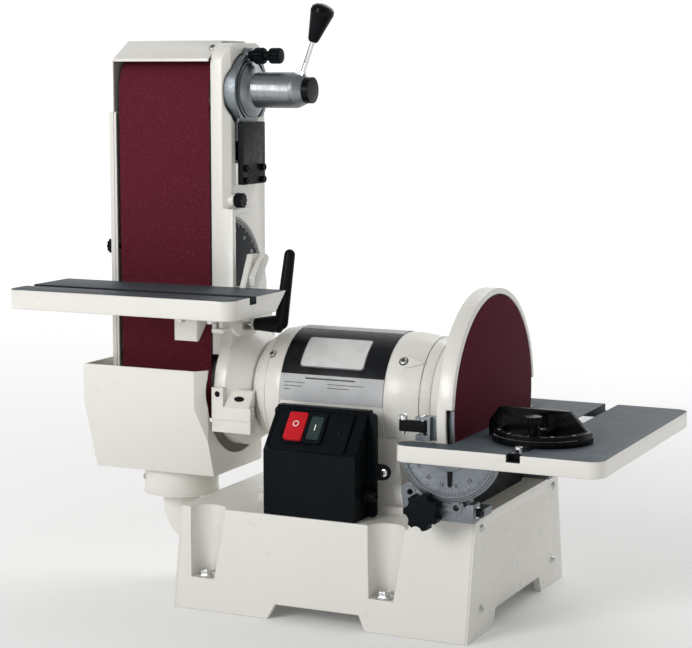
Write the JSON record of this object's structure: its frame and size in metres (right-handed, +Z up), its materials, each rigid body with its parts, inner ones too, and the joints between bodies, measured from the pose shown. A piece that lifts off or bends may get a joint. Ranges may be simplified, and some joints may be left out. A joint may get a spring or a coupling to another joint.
{
  "type": "belt disc sander",
  "caption": "Bench sander with a tilting upright sanding belt and a sanding disc on one motor spindle, each with a tilting work table.",
  "frame": {"origin": "centre of the bounding box's footprint, on the floor", "axes": "+X along the spindle towards the disc, -Y towards the operator, +Z up"},
  "size_m": [0.8932, 0.4466, 0.8557],
  "materials": {
    "cream_casting": "satin enamel over a lightly textured casting",
    "cream_sheet": "satin enamel",
    "zinc_steel": "zinc plated",
    "black_plastic": "fine grained, satin",
    "black_metal": "satin black",
    "label_film": "satin film",
    "laminations": "dull",
    "ground_steel": "ground",
    "drum_steel": "turned",
    "cast_aluminium": "machined",
    "abrasive_cloth": "maroon abrasive grain on cloth",
    "abrasive_paper": "maroon abrasive grain on paper",
    "red_plastic": "satin moulded",
    "dark_green_plastic": "satin moulded",
    "table_iron": "ground and polished",
    "trunnion_iron": "machined faces",
    "scale_plate": "satin, printed degree marks"
  },
  "bodies": {
    "machine_body": {"base_casting": "cream_casting", "base_side_covers": "cream_sheet", "base_cover_screws": "zinc_steel", "bench_bolts": "zinc_steel", "dust_port": "black_plastic", "pedestal": "cream_casting", "m8_bolts": "zinc_steel", "motor_shell": "cream_casting", "motor_label": "label_film", "end_bell_left": "cream_casting", "end_bell_right": "cream_casting", "stator": "laminations", "motor_bearings": "ground_steel", "switch_box": "black_plastic", "switch_panel": "black_plastic", "cord_gland": "black_plastic", "dust_hood": "cream_sheet", "dust_collar": "cream_sheet", "dust_elbow": "cream_sheet", "disc_guard": "cream_casting", "disc_chute": "black_plastic", "trunnion_brackets": "trunnion_iron", "brake_bracket": "cast_aluminium"},
    "spindle": {"motor_shaft": "ground_steel", "rotor": "laminations", "drive_drum": "drum_steel", "disc_plate": "cast_aluminium", "abrasive_disc": "abrasive_paper"},
    "arm": {"belt_arm": "cream_casting", "arm_clamp_cap": "cream_casting", "arm_screws": "black_metal", "belt_side_cover": "cream_sheet", "belt_cover": "cream_sheet", "platen": "table_iron", "sanding_belt": "abrasive_cloth", "clamp_plate": "black_metal", "angle_scale": "scale_plate", "tension_spring": "ground_steel"},
    "carriage": {"tension_bracket": "cast_aluminium", "idler_axle": "ground_steel"},
    "idler": {"idler_drum": "drum_steel"},
    "tensioner": {"tension_lever": "cast_aluminium"},
    "tracking_screw": {"tracking_knob": "black_plastic"},
    "tracking_lock": {"tracking_lock_knob": "black_plastic"},
    "side_screw": {"side_knob": "black_plastic"},
    "cover_screw": {"cover_knob": "black_plastic"},
    "belt_table_unit": {"belt_table": "table_iron", "belt_table_bracket": "cream_casting", "belt_table_bolts": "zinc_steel"},
    "belt_table_lock": {"lock_lever": "black_metal"},
    "disc_table_unit": {"disc_table": "table_iron", "disc_trunnions": "trunnion_iron"},
    "front_table_lock": {"star_knob_front": "black_plastic"},
    "rear_table_lock": {"star_knob_rear": "black_plastic"},
    "gauge_bar": {"mitre_bar": "ground_steel"},
    "gauge_head": {"mitre_head": "black_metal"},
    "gauge_lock": {"mitre_knob": "black_plastic"},
    "off_push": {"off_button": "red_plastic"},
    "on_push": {"on_button": "dark_green_plastic"},
    "brake": {"brake_lever": "black_metal"}
  },
  "joints": [
    {"name": "spindle_turn", "type": "hinge", "parent": "machine_body", "child": "spindle", "pos_m": [0, 0, 0.295], "axis": [1, 0, 0], "continuous": true},
    {"name": "arm_tilt", "type": "hinge", "parent": "machine_body", "child": "arm", "pos_m": [-0.15, 0, 0.295], "axis": [-1, 0, 0], "range_deg": [0, 90]},
    {"name": "belt_tension", "type": "slide", "parent": "arm", "child": "carriage", "axis": [0, 0, -1], "range_m": [0, 0.005], "deforming": ["tension_spring"]},
    {"name": "idler_turn", "type": "hinge", "parent": "carriage", "child": "idler", "pos_m": [-0.2765, 0, 0.7315], "axis": [1, 0, 0], "continuous": true},
    {"name": "tension_lever_turn", "type": "hinge", "parent": "carriage", "child": "tensioner", "pos_m": [-0.08, 0, 0.7315], "axis": [1, 0, 0], "range_deg": [0, 90]},
    {"name": "tracking_knob_turn", "type": "hinge", "parent": "carriage", "child": "tracking_screw", "pos_m": [-0.12, 0, 0.781], "axis": [1, 0, 0], "continuous": true},
    {"name": "tracking_lock_turn", "type": "hinge", "parent": "carriage", "child": "tracking_lock", "pos_m": [-0.145, 0, 0.781], "axis": [1, 0, 0], "continuous": true},
    {"name": "side_knob_turn", "type": "hinge", "parent": "arm", "child": "side_screw", "pos_m": [-0.16, -0.04, 0.572], "axis": [1, 0, 0], "continuous": true},
    {"name": "cover_knob_turn", "type": "hinge", "parent": "arm", "child": "cover_screw", "pos_m": [-0.373, -0.036, 0.497], "axis": [1, 0, 0], "continuous": true},
    {"name": "belt_table_tilt", "type": "hinge", "parent": "arm", "child": "belt_table_unit", "pos_m": [-0.142, -0.057, 0.445], "axis": [1, 0, 0], "range_deg": [0, 45]},
    {"name": "belt_table_lock_turn", "type": "hinge", "parent": "arm", "child": "belt_table_lock", "pos_m": [-0.134, -0.04485, 0.39238], "axis": [-1, 0, 0], "range_deg": [0, 75]},
    {"name": "disc_table_tilt", "type": "hinge", "parent": "machine_body", "child": "disc_table_unit", "pos_m": [0.2365, 0, 0.2653], "axis": [0, 1, 0], "range_deg": [-15, 45]},
    {"name": "front_table_lock_turn", "type": "hinge", "parent": "machine_body", "child": "front_table_lock", "pos_m": [0.2045, -0.2, 0.181], "axis": [0, 1, 0], "continuous": true},
    {"name": "rear_table_lock_turn", "type": "hinge", "parent": "machine_body", "child": "rear_table_lock", "pos_m": [0.2045, 0.2, 0.181], "axis": [0, 1, 0], "continuous": true},
    {"name": "gauge_slide", "type": "slide", "parent": "disc_table_unit", "child": "gauge_bar", "axis": [0, 1, 0], "range_m": [-0.04, 0.16]},
    {"name": "gauge_turn", "type": "hinge", "parent": "gauge_bar", "child": "gauge_head", "pos_m": [0.327, -0.085, 0.27], "axis": [0, 0, 1], "range_deg": [-60, 60]},
    {"name": "gauge_lock_turn", "type": "hinge", "parent": "gauge_head", "child": "gauge_lock", "pos_m": [0.327, -0.128, 0.28], "axis": [0, 0, 1], "continuous": true},
    {"name": "off_press", "type": "slide", "parent": "machine_body", "child": "off_push", "axis": [0, 0.7782, -0.628], "range_m": [0, 0.004], "stiffness_N_per_m": 400},
    {"name": "on_press", "type": "slide", "parent": "machine_body", "child": "on_push", "axis": [0, 0.7782, -0.628], "range_m": [0, 0.004], "stiffness_N_per_m": 400},
    {"name": "brake_turn", "type": "hinge", "parent": "machine_body", "child": "brake", "pos_m": [0.18, -0.156, 0.283], "axis": [0, 0, -1], "range_deg": [0, 12]}
  ],
  "couplings": [
    {"joint": "idler_turn", "follows": "spindle_turn", "ratio": 1},
    {"joint": "belt_tension", "follows": "tension_lever_turn", "m_per_rad": 0.003183}
  ]
}
